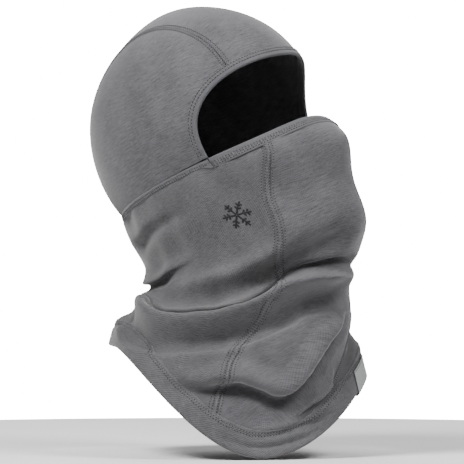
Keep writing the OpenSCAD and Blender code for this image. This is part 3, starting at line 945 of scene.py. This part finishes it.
def woven(name, colour, pitch=0.0005):
    """Close tape weave: fine crossing ribs, a little darker between them"""
    material, shader, add, join = shaded(name, 0.8, sheen=0.1)
    chart = add("ShaderNodeUVMap", uv_map="cloth").outputs["UV"]
    mapping = add("ShaderNodeMapping", Scale=(1 / pitch, 1 / pitch, 1))
    join(chart, mapping.inputs["Vector"])
    picks = add("ShaderNodeTexWave", bands_direction="Y", Scale=0.3, Distortion=0.3)
    ends = add("ShaderNodeTexWave", bands_direction="X", Scale=0.3, Distortion=0.3)
    for wave in (picks, ends):
        join(mapping.outputs["Vector"], wave.inputs["Vector"])
    weave = weighed(add, join, picks.outputs["Fac"], ends.outputs["Fac"], 0.45)
    wear = weighed(add, join, weave, noise(add, join, chart, (0.004, 0.004, 1.0)), 0.4)
    tint = ramp(add, join, wear, (0.25, tuple(c * 0.82 for c in colour)), (0.75, colour))
    join(tint, shader.inputs["Base Color"])
    bump = add("ShaderNodeBump", Strength=0.5, Distance=0.00012)
    join(weave, bump.inputs["Height"])
    join(bump.outputs["Normal"], shader.inputs["Normal"])
    return material


cloth("hem_label", label_section, 40, 90, woven("label_weave", (0.33, 0.35, 0.345)), wall=label_tape,
      finish="loop_label", body="neck")
# Its second material, dark grey, is painted shade for the spindles between the label's stitches
stitching(
    "label_stitching", [(label_place, np.linspace(0.03, 0.97, 80), hem_width - label_height + 0.0022,
       label_face + label_tape / 2)], 0.0022,
    [spun("label_thread", (0.20, 0.20, 0.205)), spun("label_painted_shade", (0.06, 0.06, 0.06))],
    finish="thread", body="neck")

# ----------------------------------------------------------------------------------------------
# Care label: a blank white satin tape sewn in under the joining band at the nape. It hangs free
# on the inside of the neck panel.
# ----------------------------------------------------------------------------------------------
care_width, care_length = 0.024, 0.020
care_half = care_width / 2 / nape_reach


def care_place(a, b):
    turn = math.pi + mix(-care_half, care_half, a)
    down = joining_width + 0.001 + care_length * b
    hang = np.broadcast_to(-fabric / 2 - 0.00125 - 0.001 * np.sin(math.pi * b), a.shape)
    return above(band_place, turn, down, hang)


cloth("care_label", care_place, 24, 20, woven("care_satin", (0.80, 0.80, 0.78), pitch=0.0004),
      wall=label_tape, finish="care_tape", body="neck")

# ----------------------------------------------------------------------------------------------
# Cheek print: a six-armed snowflake in a thin film of black ink on the right cheek. It is laid
# on the folded cloth stroke by stroke.
# ----------------------------------------------------------------------------------------------
print_width, print_film = 0.024, 0.0002
print_turn, print_drop = math.radians(64), 2.25
print_step = 0.01
print_ends = (tube(print_turn + way * print_step, print_drop) for way in (1, -1))
print_pace = float(np.linalg.norm(np.subtract(*print_ends))) / (2 * print_step)
print_fall = float(pace(print_turn, print_drop))


def printed(bm, start, end, width):
    """One stroke of ink, cut from a grid and laid on the cloth"""
    way = (end - start) / np.linalg.norm(end - start)
    side = np.array((-way[1], way[0])) * width / 2
    made = bmesh.ops.create_grid(bm, x_segments=14, y_segments=3, size=0.5)["verts"]
    shares = np.array([v.co[:2] for v in made]) + 0.5
    spots = start + np.outer(shares[:, 0], end - start) + np.outer(2 * shares[:, 1] - 1, side)
    places = worn(print_turn - spots[:, 0] / print_pace, print_drop - spots[:, 1] / print_fall,
                  fabric / 2 + 0.00016)
    for vert, place in zip(made, places):
        vert.co = place


bm = bmesh.new()
arm_length, stroke, twig = print_width / 2, print_width / 18, 0.24
for angle in np.radians(range(0, 360, 60)):
    arm = np.array((math.cos(angle), math.sin(angle)))
    printed(bm, arm * 0.0005, arm * arm_length, stroke)
    for share in (0.45, 0.7):
        for lean_of_twig in np.radians((-60, 60)):
            twig_way = np.array((math.cos(angle + lean_of_twig), math.sin(angle + lean_of_twig)))
            root = arm * arm_length * share
            printed(bm, root, root + twig_way * arm_length * twig, stroke)
ink, ink_shader, add, join = shaded("print_ink", 0.55)
blots = noise(add, join, add("ShaderNodeTexCoord").outputs["Object"], (0.0009, 0.0009, 0.0009))
join(ramp(add, join, blots, (0.3, (0.008, 0.008, 0.009)), (0.75, (0.022, 0.022, 0.024))),
     ink_shader.inputs["Base Color"])
finished("cheek_print", bm, [ink], wall=print_film, finish="print_ink", stretch=pull_down)

# ----------------------------------------------------------------------------------------------
# Studio: a pale floor, even light from above and both sides, and a long lens level with the neck.
# ----------------------------------------------------------------------------------------------
low, high = (Vector(corner) for corner in cad_box)
bm = bmesh.new()
bmesh.ops.create_circle(bm, cap_ends=True, segments=96, radius=0.6,
                        matrix=Matrix.Translation((0, 0, low.z - 0.002)))
floor_finish, floor_shader, add, join = shaded("floor_paper", 0.9)
grain_of_paper = noise(add, join, add("ShaderNodeTexCoord").outputs["Object"], (0.2, 0.2, 0.2))
join(ramp(add, join, grain_of_paper, (0.3, (0.84, 0.84, 0.845)), (0.7, (0.88, 0.88, 0.88))),
     floor_shader.inputs["Base Color"])
floor = finished("studio_floor", bm, [floor_finish])


def softbox(name, azimuth, elevation, distance, size, power):
    """A square area light that faces the object"""
    lamp = bpy.data.lights.new(name, "AREA")
    lamp.size, lamp.energy = size, power
    light = bpy.data.objects.new(name, lamp)
    a, e = math.radians(azimuth), math.radians(elevation)
    way = Vector((math.sin(a) * math.cos(e), -math.cos(a) * math.cos(e), math.sin(e)))
    light.location = way * distance
    light.rotation_euler = way.to_track_quat("Z", "Y").to_euler()
    bpy.context.scene.collection.objects.link(light)


softbox("left_key", -52, 48, 1.3, 0.45, 29)
softbox("right_key", 46, 45, 1.3, 0.45, 16)
softbox("behind", 180, 35, 1.3, 0.8, 9)

# The air lights the cloth softly and is white behind it
world = bpy.data.worlds.new("studio_air")
world.use_nodes = True
air, links = world.node_tree.nodes["Background"], world.node_tree.links
air.inputs["Color"].default_value = (1, 1, 1, 1)
air.inputs["Strength"].default_value = 0.12
backdrop = world.node_tree.nodes.new("ShaderNodeBackground")
backdrop.inputs["Strength"].default_value = 24
sight = world.node_tree.nodes.new("ShaderNodeLightPath")
either = world.node_tree.nodes.new("ShaderNodeMixShader")
links.new(sight.outputs["Is Camera Ray"], either.inputs["Fac"])
links.new(air.outputs["Background"], either.inputs[1])
links.new(backdrop.outputs["Background"], either.inputs[2])
links.new(either.outputs["Shader"], world.node_tree.nodes["World Output"].inputs["Surface"])
bpy.context.scene.world = world

camera_turn, camera_distance, field = math.radians(-10), 3.2, 0.371
aim = Vector((0.0047, -0.0008, -0.0488))
lens = bpy.data.cameras.new("camera")
lens.sensor_width = 36
lens.lens = 36 * camera_distance / field
camera = bpy.data.objects.new("camera", lens)
camera_way = Vector((math.sin(camera_turn), -math.cos(camera_turn), 0))
camera.location = aim + camera_way * camera_distance
camera.rotation_euler = camera_way.to_track_quat("Z", "Y").to_euler()
lens.clip_end = 50
bpy.context.scene.collection.objects.link(camera)
bpy.context.scene.camera = camera
